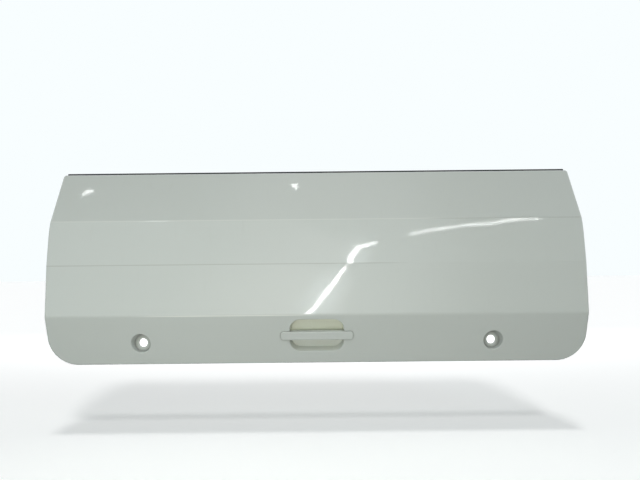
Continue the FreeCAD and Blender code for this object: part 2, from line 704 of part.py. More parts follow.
def grip_bar():
    """The bar across the recess: a wedge that stands out most at its lower edge."""
    face = padded("grip_face", "YZ_Plane", [
        ("-sizes.grip_height / 2", "0"),
        ("-sizes.grip_height / 2", "sizes.grip_rise"),
        ("sizes.grip_height / 2", "sizes.grip_top_rise"),
        ("sizes.grip_height / 2", "0"),
    ], "sizes.grip_length")
    rounded(face, lambda edge: runs_along(edge, (0, 0, 1)), "sizes.grip_corner_round")
    rounded(face, lambda edge: edge.BoundBox.ZMin > NEAR, "sizes.grip_edge_round")
    lower_frame(face)
    core = padded("grip_core", "YZ_Plane", [
        ("-sizes.grip_height / 2", "-sizes.grip_thickness"),
        ("-sizes.grip_height / 2", "sizes.grip_top_rise / 2"),
        ("sizes.grip_height / 2", "sizes.grip_top_rise / 2"),
        ("sizes.grip_height / 2", "-sizes.grip_thickness"),
    ], "sizes.recess_width - 2 * sizes.grip_end_gap")
    lower_frame(core)
    node(fuse("grip", [face, core]), "grip_bar")


def strut_frame(thing):
    """Set an object on the back of the door beside the seal: +Z out of the back, +Y down the door."""
    thing.Placement = FreeCAD.Placement(
        FreeCAD.Vector(), FreeCAD.Rotation(FreeCAD.Vector(1, 0, 0), -90)
    )
    bind(
        thing,
        Placement__Rotation__Angle=f"-90 deg - atan({BACK_SLOPE})",
        Placement__Base__x=STRUT_X,
        Placement__Base__y=STRUT_Y,
        Placement__Base__z=STRUT_Z,
    )


def strut_brackets():
    """Angle brackets that the gas struts' ball studs are screwed to, one by each side of the door."""
    angle = padded("bracket_angle", "XZ_Plane", [
        ("-sizes.bracket_width / 2", "0"),
        ("sizes.bracket_width / 2", "0"),
        ("sizes.bracket_width / 2", "sizes.bracket_wall"),
        ("-sizes.bracket_width / 2 + sizes.bracket_wall", "sizes.bracket_wall"),
        ("-sizes.bracket_width / 2 + sizes.bracket_wall", "sizes.bracket_ear"),
        ("-sizes.bracket_width / 2", "sizes.bracket_ear"),
    ], "sizes.bracket_length")
    ear = value("bracket_ear")
    rounded(angle, lambda edge: runs_along(edge, (1, 0, 0)) and at_height(edge, ear),
            "sizes.bracket_corner_round")
    strut_frame(angle)
    hole = cylinder(
        "stud_hole", "sizes.stud_hole_radius", f"{PAST}", "X",
        (f"{STRUT_X} - (sizes.bracket_width + {PAST}) / 2",
         f"{STRUT_Y} + sizes.stud_rise * cos(atan({BACK_SLOPE}))",
         f"{STRUT_Z} - sizes.stud_rise * sin(atan({BACK_SLOPE}))"),
    )
    right = node(cut("bracket_right", angle, hole), "strut_bracket_right")
    mirrored("strut_bracket_left", right)


def check_document():
    """Stop if any object failed to build."""
    doc.recompute()
    for item in doc.Objects:
        if "Invalid" in item.State or "Error" in item.State:
            raise RuntimeError(f"{item.Label}: {item.State} {item.getStatusString()}")
    for piece in NODES:
        if piece.Shape.isNull() or not piece.Shape.isValid():
            raise RuntimeError(f"{piece.Label}: bad shape")


def write_parts():
    """Write one STEP file a piece and print what each measures."""
    os.makedirs("parts", exist_ok=True)
    for piece in NODES:
        shape = piece.Shape
        shape.exportStep(f"parts/{piece.Label}.step")
        size = shape.BoundBox
        print(f"{piece.Label}: {len(shape.Solids)} solid, {shape.Volume / 1000:.1f} cm3, "
              f"x {size.XMin:.1f} {size.XMax:.1f}, y {size.YMin:.1f} {size.YMax:.1f}, "
              f"z {size.ZMin:.1f} {size.ZMax:.1f}")


wall_hinge_rail()
rail_end_caps()
door_hinge_rail()
outer_skin()
inner_skin()
perimeter_seal()
handle_pan()
grip_bar()
strut_brackets()
check_document()
write_parts()
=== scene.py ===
import json
import math

import bmesh
import bpy
from mathutils import Matrix, Vector
from mathutils.bvhtree import BVHTree


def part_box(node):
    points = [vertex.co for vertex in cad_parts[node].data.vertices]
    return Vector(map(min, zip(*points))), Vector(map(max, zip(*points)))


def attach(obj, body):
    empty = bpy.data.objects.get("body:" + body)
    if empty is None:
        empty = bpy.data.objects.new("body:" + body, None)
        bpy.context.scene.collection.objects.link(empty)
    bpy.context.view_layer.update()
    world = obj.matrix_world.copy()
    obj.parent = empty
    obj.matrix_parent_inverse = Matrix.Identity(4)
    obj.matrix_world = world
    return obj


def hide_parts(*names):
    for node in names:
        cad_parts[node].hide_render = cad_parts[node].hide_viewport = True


# The looks of a caravan gas locker door: glossy moulded outer skin, satin liner, black hinge rails,
# rubber seal and zinc-plated brackets. Metres, in the frame's own axes: the outside faces -Y and
# +Z is up. The colours of surfaces are written as they would be picked on a screen, 0 to 255.

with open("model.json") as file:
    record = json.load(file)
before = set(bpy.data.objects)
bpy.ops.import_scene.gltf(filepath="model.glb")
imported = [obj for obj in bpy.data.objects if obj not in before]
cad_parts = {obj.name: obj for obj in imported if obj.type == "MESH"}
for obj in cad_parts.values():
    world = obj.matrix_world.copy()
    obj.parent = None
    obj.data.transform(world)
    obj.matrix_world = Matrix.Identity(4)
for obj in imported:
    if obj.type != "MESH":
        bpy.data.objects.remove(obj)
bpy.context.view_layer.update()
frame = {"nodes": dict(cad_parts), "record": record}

# The panel: its box, and the outline inside it.
PANEL_LOW, PANEL_HIGH = (Vector(corner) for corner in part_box("outer_skin"))
HALF_WIDTH = PANEL_HIGH.x
TOP_Z = PANEL_HIGH.z
BOTTOM_Z = PANEL_LOW.z
HALF_TOP_WIDTH = 0.8045
TAPER_Z = TOP_Z - 0.177
TAPER_ROUND = 0.5
BOTTOM_CORNER = 0.085

# Painted highlights (the light lines) and painted shade (the dark lines) along the creases: height, half
# width, from and to across the door, strength and colour. They fade out over LINE_FADE past their ends.
CREASE_HIGHLIGHTS_AND_SHADE = (
    (TOP_Z - 0.153, 0.0016, -0.80, 0.30, 0.35, (215, 217, 212)),
    (TOP_Z - 0.154, 0.0013, 0.45, 0.80, 0.35, (150, 152, 148)),
    (TOP_Z - 0.289, 0.0014, -0.82, 0.16, 0.45, (150, 152, 146)),
    (TOP_Z - 0.4445, 0.0013, -0.42, -0.12, 0.70, (226, 228, 222)),
)
LINE_FADE = 0.15

# The perimeter seal: where it runs and how it is shaped. The liner is found from BEHIND_Y.
SEAL_INSET = 0.023
SEAL_TOP_INSET = 0.040
SEAL_TOP_CORNER = 0.012
SEAL_STEP = 0.012
SEAL_HALF_BASE = 0.0058
SEAL_FOOT_LIFT = 0.0002
SEAL_FOOT_HEIGHT = 0.0012
SEAL_BULB_RADIUS = 0.0041
SEAL_BULB_DEGREES = range(210, -31, -15)
SEAL_HEIGHT = 0.0097
BEHIND_Y = 0.5

# The rivets of the door's hinge rail. The dome is in shares of the rivet's radius and height.
DOOR_RAIL_END_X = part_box("door_hinge_rail")[1][0]
PLATE_TOP_Z = 0.00579
RIVET_Y = -0.0222
RIVET_PITCH = 0.110
RIVET_RADIUS = 0.0021
RIVET_HEIGHT = 0.0009
RIVET_DOME = ((1, 0), (1, 0.3), (0.85, 0.75), (0.5, 1), (0.35, 0.6), (0, 0.6))

# The screws of the wall's hinge rail. Screw heads are (radius, height) pairs.
RAIL_FRONT_Y = -0.0025
RAIL_SCREW_Z = -0.004
RAIL_SCREW_PITCH = 0.200
RAIL_SCREW_PAIRS = 4
RAISED_HEAD = ((0.0043, 0), (0.0041, 0.0003), (0.0030, 0.0009), (0.0016, 0.0012),
               (0.0013, 0.0002), (0, 0.0002))

# The strut brackets: the right-hand one, mirrored for the left. Screws are (down, across) pairs.
BRACKET_LOW, BRACKET_HIGH = (Vector(corner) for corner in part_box("strut_bracket_right"))
BACK_TILT = math.atan(12 / 156)
EAR_WALL = 0.0025
FOOT_SHIFT = 0.003
BRACKET_SCREWS = ((-0.026, 0.005), (-0.009, -0.004), (0.009, -0.004), (0.026, 0.005))
PAN_HEAD = ((0.0036, 0), (0.0037, 0.0008), (0.0032, 0.0019), (0.0018, 0.0024),
            (0.0014, 0.0010), (0, 0.0010))

# The ball studs in the brackets' ears, with their turned forms as (radius, height) pairs.
STUD_CENTRE = Vector((0.75825, -0.088195, -0.362084))
STUD_RISE = 0.014
STUD_EDGE = 0.00025
BALL_RADIUS = 0.005
BALL_REACH = 0.0165
BALL_DEGREES = range(-42, 89, 13)
BALL_FLAT_RADIUS = 0.0012
BALL_FLAT_SHARE = 0.985
NECK_RADIUS = 0.0028
NECK_ENDS = (0.005, BALL_REACH - 0.0045)
STUD_HEXAGON = ((0.0058, 0), (0.0064, 0.0006), (0.0064, 0.0044), (0.0056, 0.0050), (0, 0.0050))
STUD_THREAD = ((0.0038, 0.002), (0.0038, -0.0120), (0.0033, -0.0125), (0, -0.0125))
STUD_WASHER = ((0.0082, 0), (0.0082, 0.0012), (0.0040, 0.0012))
STUD_NUT = ((0.0066, 0.0012), (0.0074, 0.0018), (0.0074, 0.0070), (0.0066, 0.0076),
            (0.0038, 0.0076))

# The camera, as the photograph was taken.
CAMERA_PLACE = Vector((0.01539, -2.094, -0.2617))
CAMERA_YAW = 0.00149
CAMERA_PITCH = 0.02657
CAMERA_ROLL = -0.01033
CAMERA_LENS = 36.19
SENSOR_WIDTH = 36
CLIP_END = 50

# The studio. The wall is where the cards and strips that the gloss mirrors stand. The floor is
# lifted towards white from FLOOR_LIFT_FROM metres away to FLOOR_LIFT_FULL.
WALL_Y = -3.5
WORLD_LIGHT = 0.26
WORLD_TINT = (0.94, 0.99, 1.0, 1)
FLOOR_Z = -0.807
FLOOR_HALF_SIZE = 14
FLOOR_SHADE = 0.45
FLOOR_SHADE_SEEN = 1.42
FLOOR_LIFT = 0.24
FLOOR_LIFT_FROM = 1.0
FLOOR_LIFT_FULL = 4.0
WHITE = (1, 1, 1, 1)
HALO_COLOUR = (0.90, 0.98, 1.0, 1)

# The colour sockets of a Mix node.
MIX_FIRST, MIX_SECOND, MIX_RESULT = 6, 7, 2


def screen_colour(red, green, blue):
    """A colour picked on a screen, as the linear values that Blender takes."""
    def linear(level):
        level /= 255
        return level / 12.92 if level <= 0.04045 else ((level + 0.055) / 1.055) ** 2.4
    return (linear(red), linear(green), linear(blue), 1)


class Look:
    """A procedural material: its Principled shader and the nodes that feed it."""

    def __init__(self, name, colour=(255, 255, 255), roughness=1.0, **settings):
        self.material = bpy.data.materials.new(name)
        self.material.use_nodes = True
        self.nodes = self.material.node_tree.nodes
        self.links = self.material.node_tree.links
        self.shader = self.nodes["Principled BSDF"]
        self.place = self.add("ShaderNodeTexCoord").outputs["Object"]
        self.colour = screen_colour(*colour)
        self.shader.inputs["Base Color"].default_value = self.colour
        self.shader.inputs["Roughness"].default_value = roughness
        for socket, setting in settings.items():
            self.shader.inputs[socket.replace("_", " ")].default_value = setting

    def join(self, given, socket):
        """Feed a socket with another node's output, or with a plain value."""
        if isinstance(given, bpy.types.NodeSocket):
            self.links.new(given, socket)
        else:
            socket.default_value = given

    def add(self, kind, **inputs):
        """A node with its inputs fed, each under the name of its socket."""
        node = self.nodes.new(kind)
        for name, given in inputs.items():
            self.join(given, node.inputs[name.replace("_", " ")])
        return node

    def calc(self, operation, first, second=0.0):
        """One step of arithmetic."""
        node = self.nodes.new("ShaderNodeMath")
        node.operation = operation
        for socket, given in zip(node.inputs, (first, second)):
            self.join(given, socket)
        return node.outputs[0]

    def between(self, value, low, high, to_low=0.0, to_high=1.0):
        """Map a value from one range to another, clamped."""
        node = self.add("ShaderNodeMapRange", Value=value, From_Min=low, From_Max=high,
                        To_Min=to_low, To_Max=to_high)
        return node.outputs["Result"]

    def eased(self, value, low, high):
        """From 0 at low to 1 at high, with soft ends."""
        result = self.between(value, low, high)
        result.node.interpolation_type = "SMOOTHSTEP"
        return result

    def stretched(self, x, y, z):
        """The place on the object with each axis scaled."""
        return self.add("ShaderNodeMapping", Vector=self.place, Scale=(x, y, z)).outputs["Vector"]

    def axes(self):
        """The place on the object as three separate numbers."""
        return self.add("ShaderNodeSeparateXYZ", Vector=self.place).outputs

    def noise(self, scale, detail=3.0, place=None):
        """Cloudy noise: how fine, with how much detail, and where."""
        node = self.add("ShaderNodeTexNoise", Vector=place or self.place, Scale=scale, Detail=detail)
        return node.outputs["Fac"]

    def cells(self, scale):
        """The distance to the nearest of many scattered points."""
        return self.add("ShaderNodeTexVoronoi", Vector=self.place, Scale=scale).outputs["Distance"]

    def tint(self, amount, colour):
        """Blend the surface's colour towards another by an amount from 0 to 1."""
        mix = self.nodes.new("ShaderNodeMix")
        mix.data_type = "RGBA"
        self.join(amount, mix.inputs["Factor"])
        self.join(self.colour, mix.inputs[MIX_FIRST])
        self.join(screen_colour(*colour), mix.inputs[MIX_SECOND])
        self.colour = mix.outputs[MIX_RESULT]
        self.join(self.colour, self.shader.inputs["Base Color"])

    def stain(self, value, low, high, amount, colour):
        """Tint the surface where a value is high: none at low, the whole amount at high."""
        self.tint(self.between(value, low, high, 0, amount), colour)

    def rough(self, value, low, high, to_low, to_high):
        """Let a value drive the roughness, from one range to another."""
        self.join(self.between(value, low, high, to_low, to_high), self.shader.inputs["Roughness"])

    def bumps(self, *layers, coat=False):
        """Stack bump layers, each a height, its depth in metres and its strength."""
        normal = None
        for height, depth, strength in layers:
            bump = self.add("ShaderNodeBump", Height=height, Distance=depth, Strength=strength)
            if normal:
                self.join(normal, bump.inputs["Normal"])
            normal = bump.outputs["Normal"]
        self.join(normal, self.shader.inputs["Normal"])
        if coat:
            self.join(normal, self.shader.inputs["Coat Normal"])

    def show(self, surface):
        """Show another shader in place of the Principled one."""
        self.nodes.remove(self.shader)
        self.join(surface, self.nodes["Material Output"].inputs["Surface"])


def mesh_object(name, bm, smooth=True):
    """Turn a bmesh into an object of the scene."""
    bmesh.ops.recalc_face_normals(bm, faces=bm.faces)
    mesh = bpy.data.meshes.new(name)
    bm.to_mesh(mesh)
    bm.free()
    for face in mesh.polygons:
        face.use_smooth = smooth
    obj = bpy.data.objects.new(name, mesh)
    bpy.context.scene.collection.objects.link(obj)
    return obj


def facing(place, direction):
    """A frame at a place with its Z axis along a direction."""
    return Matrix.Translation(place) @ Vector(direction).to_track_quat("Z", "Y").to_matrix().to_4x4()


def turned(bm, profile, segments, frame_at):
    """Add (radius, height) pairs spun about the Z axis of a frame. Radius 0 closes the form."""
    rings = []
    for radius, height in profile:
        if radius == 0:
            rings.append([bm.verts.new(frame_at @ Vector((0, 0, height)))])
            continue
        ring = []
        for step in range(segments):
            angle = 2 * math.pi * step / segments
            point = Vector((radius * math.cos(angle), radius * math.sin(angle), height))
            ring.append(bm.verts.new(frame_at @ point))
        rings.append(ring)
    for lower, upper in zip(rings, rings[1:]):
        for step in range(segments):
            following = (step + 1) % segments
            corners = [lower[step % len(lower)], lower[following % len(lower)],
                       upper[following % len(upper)], upper[step % len(upper)]]
            unique = list(dict.fromkeys(corners))
            if len(unique) > 2:
                bm.faces.new(unique)


def rounded_ring(corners, step):
    """A closed line of (x, z) points round a convex polygon of (x, z, radius) corners."""
    points = []
    count = len(corners)
    for i, (x, z, radius) in enumerate(corners):
        here = Vector((x, z))
        before = (Vector(corners[i - 1][:2]) - here).normalized()
        after = (Vector(corners[(i + 1) % count][:2]) - here).normalized()
        half = before.angle(after) / 2
        centre = here + (before + after).normalized() * (radius / math.sin(half))
        start = here + before * (radius / math.tan(half)) - centre
        sweep = -start.angle_signed(here + after * (radius / math.tan(half)) - centre)
        parts = max(2, math.ceil(abs(sweep) * radius / step))
        for part in range(parts + 1):
            turn = Matrix.Rotation(sweep * part / parts, 2)
            points.append(centre + turn @ start)
    filled = []
    for i, point in enumerate(points):
        following = points[(i + 1) % len(points)]
        parts = max(1, math.ceil((following - point).length / step))
        filled.extend(point.lerp(following, part / parts) for part in range(parts))
    return filled


def seal_section():
    """The seal's cross-section: a foot with thin edges and a round bulb, as (across, out) pairs."""
    section = [(-SEAL_HALF_BASE, SEAL_FOOT_LIFT), (-SEAL_HALF_BASE, SEAL_FOOT_HEIGHT)]
    centre = SEAL_HEIGHT - SEAL_BULB_RADIUS
    for degrees in SEAL_BULB_DEGREES:
        angle = math.radians(degrees)
        section.append((SEAL_BULB_RADIUS * math.cos(angle), centre + SEAL_BULB_RADIUS * math.sin(angle)))
    section += [(SEAL_HALF_BASE, SEAL_FOOT_HEIGHT), (SEAL_HALF_BASE, SEAL_FOOT_LIFT)]
    return section


def seal():
    """The perimeter seal: a rubber bulb on a flat foot, swept round the back of the door."""
    liner = frame["nodes"]["inner_skin"]
    tree = BVHTree.FromObject(liner, bpy.context.evaluated_depsgraph_get())
    side = HALF_WIDTH - SEAL_INSET
    top_side = HALF_TOP_WIDTH - SEAL_INSET
    low = BOTTOM_Z + SEAL_INSET
    high = TOP_Z - SEAL_TOP_INSET
    low_corner = BOTTOM_CORNER - SEAL_INSET
    ring = rounded_ring([
        (-top_side, high, SEAL_TOP_CORNER), (-side, TAPER_Z, TAPER_ROUND), (-side, low, low_corner),
        (side, low, low_corner), (side, TAPER_Z, TAPER_ROUND), (top_side, high, SEAL_TOP_CORNER),
    ], SEAL_STEP)
    places = []
    normals = []
    for x, z in ring:
        place, normal = tree.ray_cast(Vector((x, BEHIND_Y, z)), Vector((0, -1, 0)))[:2]
        places.append(place)
        normals.append(normal)
    section = seal_section()
    bm = bmesh.new()
    rows = []
    count = len(places)
    for i in range(count):
        along = (places[(i + 1) % count] - places[i - 1]).normalized()
        up = (normals[i - 1] + normals[i] + normals[(i + 1) % count]).normalized()
        across = along.cross(up).normalized()
        rows.append([bm.verts.new(places[i] + across * a + up * b) for a, b in section])
    for i in range(count):
        for j in range(len(section)):
            k = (j + 1) % len(section)
            n = (i + 1) % count
            bm.faces.new((rows[i][j], rows[i][k], rows[n][k], rows[n][j]))
    return mesh_object("perimeter_seal_bulb", bm)


def rail_rivets():
    """Blind rivets through the door rail's plate."""
    bm = bmesh.new()
    dome = [(RIVET_RADIUS * across, RIVET_HEIGHT * up) for across, up in RIVET_DOME]
    pairs = int(DOOR_RAIL_END_X / RIVET_PITCH)
    for number in range(-pairs, pairs + 1):
        turned(bm, dome, 16, facing(Vector((number * RIVET_PITCH, RIVET_Y, PLATE_TOP_Z)), (0, 0, 1)))
    return mesh_object("door_rail_rivets", bm)


def rail_screws():
    """Raised countersunk screws in the wall rail's holes."""
    bm = bmesh.new()
    for number in range(-RAIL_SCREW_PAIRS, RAIL_SCREW_PAIRS):
        place = Vector(((number + 0.5) * RAIL_SCREW_PITCH, RAIL_FRONT_Y, RAIL_SCREW_Z))
        turned(bm, RAISED_HEAD, 20, facing(place, (0, -1, 0)))
    return mesh_object("wall_rail_screws", bm)


def bracket_screws(name, side):
    """Four pan-head screws in the foot of a strut bracket."""
    out = Vector((0, math.cos(BACK_TILT), -math.sin(BACK_TILT)))
    down = Vector((0, -math.sin(BACK_TILT), -math.cos(BACK_TILT)))
    middle_x = (BRACKET_LOW.x + BRACKET_HIGH.x) / 2 + FOOT_SHIFT
    foot = Vector((middle_x, STUD_CENTRE.y, STUD_CENTRE.z)) - out * (STUD_RISE - EAR_WALL)
    bm = bmesh.new()
    for along, across in BRACKET_SCREWS:
        place = foot + down * along + Vector((across, 0, 0))
        place.x *= side
        turned(bm, PAN_HEAD, 18, facing(place, out))
    return mesh_object(name, bm)


def ball_and_neck():
    """The outline of a stud's ball on its neck, as (radius, height) pairs."""
    outline = [(NECK_RADIUS, height) for height in NECK_ENDS]
    for degrees in BALL_DEGREES:
        angle = math.radians(degrees)
        outline.append((BALL_RADIUS * math.cos(angle), BALL_REACH + BALL_RADIUS * math.sin(angle)))
    top = BALL_REACH + BALL_RADIUS * BALL_FLAT_SHARE
    return outline + [(BALL_FLAT_RADIUS, top), (0, top)]


def ball_stud(name, side):
    """A ball stud for a gas strut, with a washer and a nut behind the bracket's ear."""
    inward = Vector((-side, 0, 0))
    centre = STUD_CENTRE.copy()
    centre.x *= side
    in_front = facing(centre + inward * (EAR_WALL / 2), inward)
    behind = facing(centre - inward * (EAR_WALL / 2), -inward)
    bm = bmesh.new()
    turned(bm, ball_and_neck(), 28, in_front)
    turned(bm, STUD_HEXAGON, 6, in_front)
    turned(bm, STUD_THREAD, 24, in_front)
    turned(bm, STUD_WASHER, 28, behind)
    turned(bm, STUD_NUT, 6, behind)
    stud = mesh_object(name, bm)
    soften(stud, STUD_EDGE)
    return stud


def soften(obj, width):
    """Round the sharp edges of a small piece."""
    bevel = obj.modifiers.new("soft_edges", "BEVEL")
    bevel.width = width
    bevel.segments = 2
    bevel.limit_method = "ANGLE"
    obj.data.set_sharp_from_angle(angle=math.radians(35))


def gloss_skin():
    """Glossy moulded plastic: faint orange peel, slow waves, a little handling wear, painted shade and
    highlights.
    """
    look = Look("gloss_skin", (191, 196, 193), 0.32,
                Specular_IOR_Level=0.25, Coat_Weight=1.0, Coat_Roughness=0.025)
    look.stain(look.noise(3.0, 4.0), 0.35, 0.7, 0.08, (184, 187, 180))
    look.stain(look.noise(260, 6.0), 0.64, 0.78, 0.20, (160, 160, 152))
    look.stain(look.noise(1.0, 5.0, look.stretched(60, 60, 4)), 0.62, 0.80, 0.07, (165, 165, 156))
    # Painted shade: the colour darkens where ambient occlusion finds crevices, as under the grip and
    # round the recesses.
    crevice_shade = look.add("ShaderNodeAmbientOcclusion", Distance=0.014).outputs["AO"]
    look.tint(look.between(crevice_shade, 0.40, 0.92, 0.85, 0), (105, 107, 101))
    across, _, height = look.axes()
    # Painted highlight and painted shade lines along the creases.
    for crease, half_width, left, right, amount, colour in CREASE_HIGHLIGHTS_AND_SHADE:
        off = look.calc("ABSOLUTE", look.calc("SUBTRACT", height, crease))
        line = look.between(off, half_width * 0.5, half_width * 1.5, amount, 0)
        from_left = look.eased(across, left - LINE_FADE, left)
        from_right = look.eased(across, right + LINE_FADE, right)
        faded = look.calc("MULTIPLY", from_left, from_right)
        look.tint(look.calc("MULTIPLY", line, faded), colour)
    look.rough(look.noise(9.0, 5.0, look.stretched(1, 1, 2.2)), 0.2, 0.8, 0.29, 0.36)
    look.bumps(
        (look.noise(5.0, 2.0), 0.0006, 1.0),
        (look.noise(420, 2.0), 0.00002, 0.5),
        (look.noise(2500, 2.0), 0.000004, 0.3),
        coat=True,
    )
    return look.material


def liner_skin():
    """Satin formed sheet with a fine grain and slight dirt in patches."""
    look = Look("liner_skin", (190, 191, 187), 0.5)
    look.stain(look.noise(4.0, 5.0), 0.4, 0.75, 0.35, (176, 175, 167))
    look.stain(look.noise(90, 6.0), 0.62, 0.8, 0.4, (140, 137, 128))
    look.rough(look.noise(14, 4.0), 0.3, 0.8, 0.42, 0.62)
    look.bumps(
        (look.noise(6.0, 2.0), 0.0006, 0.6),
        (look.cells(900), 0.00012, 0.5),
    )
    return look.material


def pan_plastic():
    """The handle pan's slightly yellowed gloss plastic with stains; its lift and its yellower top are
    painted light.
    """
    # Painted light: the colour is lifted to make up for the shade in the recess.
    look = Look("pan_plastic", (210, 213, 198), 0.36, Coat_Weight=0.6, Coat_Roughness=0.12)
    # Painted reflected light: the pan stays yellower above z -0.50 and turns neutral below -0.52.
    look.tint(look.eased(look.axes()["Z"], -0.50, -0.52), (196, 200, 193))
    look.stain(look.noise(22, 5.0), 0.45, 0.8, 0.25, (190, 189, 170))
    look.stain(look.noise(300, 5.0), 0.66, 0.8, 0.5, (120, 116, 100))
    look.rough(look.noise(35, 4.0), 0.3, 0.8, 0.30, 0.50)
    look.bumps(
        (look.noise(12, 2.0), 0.0004, 0.8),
        (look.noise(700, 2.0), 0.00002, 0.5),
        coat=True,
    )
    return look.material


def black_rail():
    """Black powder-coated extrusion: fine texture, drawn lines along it and rubbed spots."""
    look = Look("black_rail", (30, 30, 32), 0.45)
    look.stain(look.noise(1.0, 6.0, look.stretched(5, 500, 500)), 0.55, 0.75, 0.5, (58, 58, 60))
    look.stain(look.noise(160, 6.0), 0.66, 0.76, 0.6, (120, 118, 112))
    look.rough(look.noise(40, 4.0), 0.3, 0.8, 0.36, 0.6)
    look.bumps(
        (look.noise(1.0, 4.0, look.stretched(4, 900, 900)), 0.00006, 0.6),
        (look.noise(1500, 2.0), 0.00003, 0.6),
    )
    return look.material


def black_plastic():
    """Black moulded plastic with a spark-eroded grain."""
    look = Look("black_plastic", (38, 38, 39), 0.55)
    look.stain(look.noise(120, 5.0), 0.6, 0.8, 0.5, (80, 80, 78))
    look.rough(look.noise(60, 4.0), 0.3, 0.8, 0.45, 0.7)
    look.bumps((look.noise(1800, 3.0), 0.00006, 0.7))
    return look.material


def seal_rubber():
    """Black foam rubber skin: dull, with fine pores, dusty in patches."""
    look = Look("seal_rubber", (34, 34, 35), 0.7)
    look.stain(look.noise(40, 6.0), 0.5, 0.8, 0.5, (76, 74, 70))
    pores = look.cells(1400)
    look.tint(look.between(pores, 0.0, 0.12, 0.5, 0.0), (14, 14, 14))
    look.rough(look.noise(120, 4.0), 0.3, 0.8, 0.6, 0.85)
    look.bumps((look.noise(300, 4.0), 0.0001, 0.5), (pores, 0.00008, 0.6))
    return look.material


def zinc_steel():
    """Zinc-plated steel with a faint spangle, tool marks and dull patches."""
    look = Look("zinc_steel", (188, 190, 192), 0.34, Metallic=1.0)
    look.stain(look.cells(260), 0.1, 0.7, 0.35, (160, 162, 160))
    look.stain(look.noise(90, 6.0), 0.55, 0.75, 0.5, (132, 128, 116))
    look.rough(look.noise(140, 5.0), 0.3, 0.75, 0.26, 0.55)
    look.bumps(
        (look.noise(1.0, 4.0, look.stretched(900, 900, 60)), 0.00003, 0.5),
        (look.noise(800, 3.0), 0.00002, 0.5),
    )
    return look.material


def dress_frame():
    """Give each carried-over CAD node the material of its slot."""
    makers = {
        "gloss_skin": gloss_skin, "liner_skin": liner_skin, "pan_plastic": pan_plastic,
        "black_rail": black_rail, "black_plastic": black_plastic, "seal_rubber": seal_rubber,
        "zinc_steel": zinc_steel,
    }
    looks = {slot: make() for slot, make in makers.items()}
    for subpart in frame["record"]["subparts"]:
        node = frame["nodes"][subpart["node"]]
        node.data.materials.clear()
        node.data.materials.append(looks[subpart["material_slot"]])
    return looks


def dress(piece, slot, looks, body):
    """Give a new piece its material and let it move with a body of the frame."""
    piece.data.materials.append(looks[slot])
    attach(piece, body)


def add_pieces(looks):
    """Add the seal's real form and the small fasteners."""
    bulb = seal()
    dress(bulb, "seal_rubber", looks, "door")
    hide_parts("perimeter_seal")
    dress(rail_rivets(), "zinc_steel", looks, "door")
    dress(rail_screws(), "zinc_steel", looks, "wall_rail")
    for side, word in ((1, "right"), (-1, "left")):
        dress(bracket_screws(f"bracket_screws_{word}", side), "zinc_steel", looks, "door")
        dress(ball_stud(f"ball_stud_{word}", side), "zinc_steel", looks, "door")


def camera():
    """The camera, turned by yaw, pitch and roll from looking along +Y."""
    data = bpy.data.cameras.new("camera")
    data.sensor_width = SENSOR_WIDTH
    data.lens = CAMERA_LENS
    data.clip_end = CLIP_END
    obj = bpy.data.objects.new("camera", data)
    bpy.context.scene.collection.objects.link(obj)
    turn = (Matrix.Rotation(CAMERA_YAW, 4, "Z") @ Matrix.Rotation(CAMERA_PITCH, 4, "X")
            @ Matrix.Rotation(-CAMERA_ROLL, 4, "Y") @ Matrix.Rotation(math.pi / 2, 4, "X"))
    obj.matrix_world = Matrix.Translation(CAMERA_PLACE) @ turn
    bpy.context.scene.camera = obj


def white_world():
    """White to the eye and in reflections, a plain soft light on everything else."""
    world = bpy.data.worlds.new("studio")
    bpy.context.scene.world = world
    world.use_nodes = True
    nodes = world.node_tree.nodes
    links = world.node_tree.links
    background = nodes["Background"]
    background.inputs["Color"].default_value = WORLD_TINT
    rays = nodes.new("ShaderNodeLightPath").outputs
    seen = rays["Is Camera Ray"]
    for ray in ("Is Glossy Ray", "Is Transmission Ray"):
        either = nodes.new("ShaderNodeMath")
        either.operation = "MAXIMUM"
        links.new(seen, either.inputs[0])
        links.new(rays[ray], either.inputs[1])
        seen = either.outputs[0]
    strength = nodes.new("ShaderNodeMapRange")
    strength.inputs["To Min"].default_value = WORLD_LIGHT
    strength.inputs["To Max"].default_value = 1.0
    links.new(seen, strength.inputs["Value"])
    links.new(strength.outputs["Result"], background.inputs["Strength"])


def floor():
    """A plain pale floor: white to the camera apart from the door's soft shadow."""
    bm = bmesh.new()
    bmesh.ops.create_grid(bm, x_segments=8, y_segments=8, size=FLOOR_HALF_SIZE)
    bmesh.ops.translate(bm, verts=bm.verts, vec=(0, 0, FLOOR_Z))
    obj = mesh_object("floor", bm)
    look = Look("floor")
    seen = look.add("ShaderNodeLightPath").outputs["Is Camera Ray"]
    shade = look.between(seen, 0, 1, FLOOR_SHADE, FLOOR_SHADE_SEEN)
    grey = look.add("ShaderNodeCombineColor", Red=shade, Green=shade, Blue=shade).outputs[0]
    lit = look.add("ShaderNodeBsdfDiffuse", Color=grey).outputs[0]
    distance = look.nodes.new("ShaderNodeVectorMath")
    distance.operation = "LENGTH"
    look.join(look.place, distance.inputs[0])
    far = look.eased(distance.outputs["Value"], FLOOR_LIFT_FROM, FLOOR_LIFT_FULL)
    lift = look.calc("MULTIPLY", seen, look.calc("MULTIPLY", far, FLOOR_LIFT))
    glow = look.add("ShaderNodeEmission", Strength=lift).outputs[0]
    both = look.nodes.new("ShaderNodeAddShader")
    look.join(lit, both.inputs[0])
    look.join(glow, both.inputs[1])
    look.show(both.outputs[0])
    obj.data.materials.append(look.material)


def aimed(place, target):
    """A frame at a place that looks along its -Z axis at a target."""
    direction = Vector(target) - Vector(place)
    return Matrix.Translation(place) @ direction.to_track_quat("-Z", "Y").to_matrix().to_4x4()


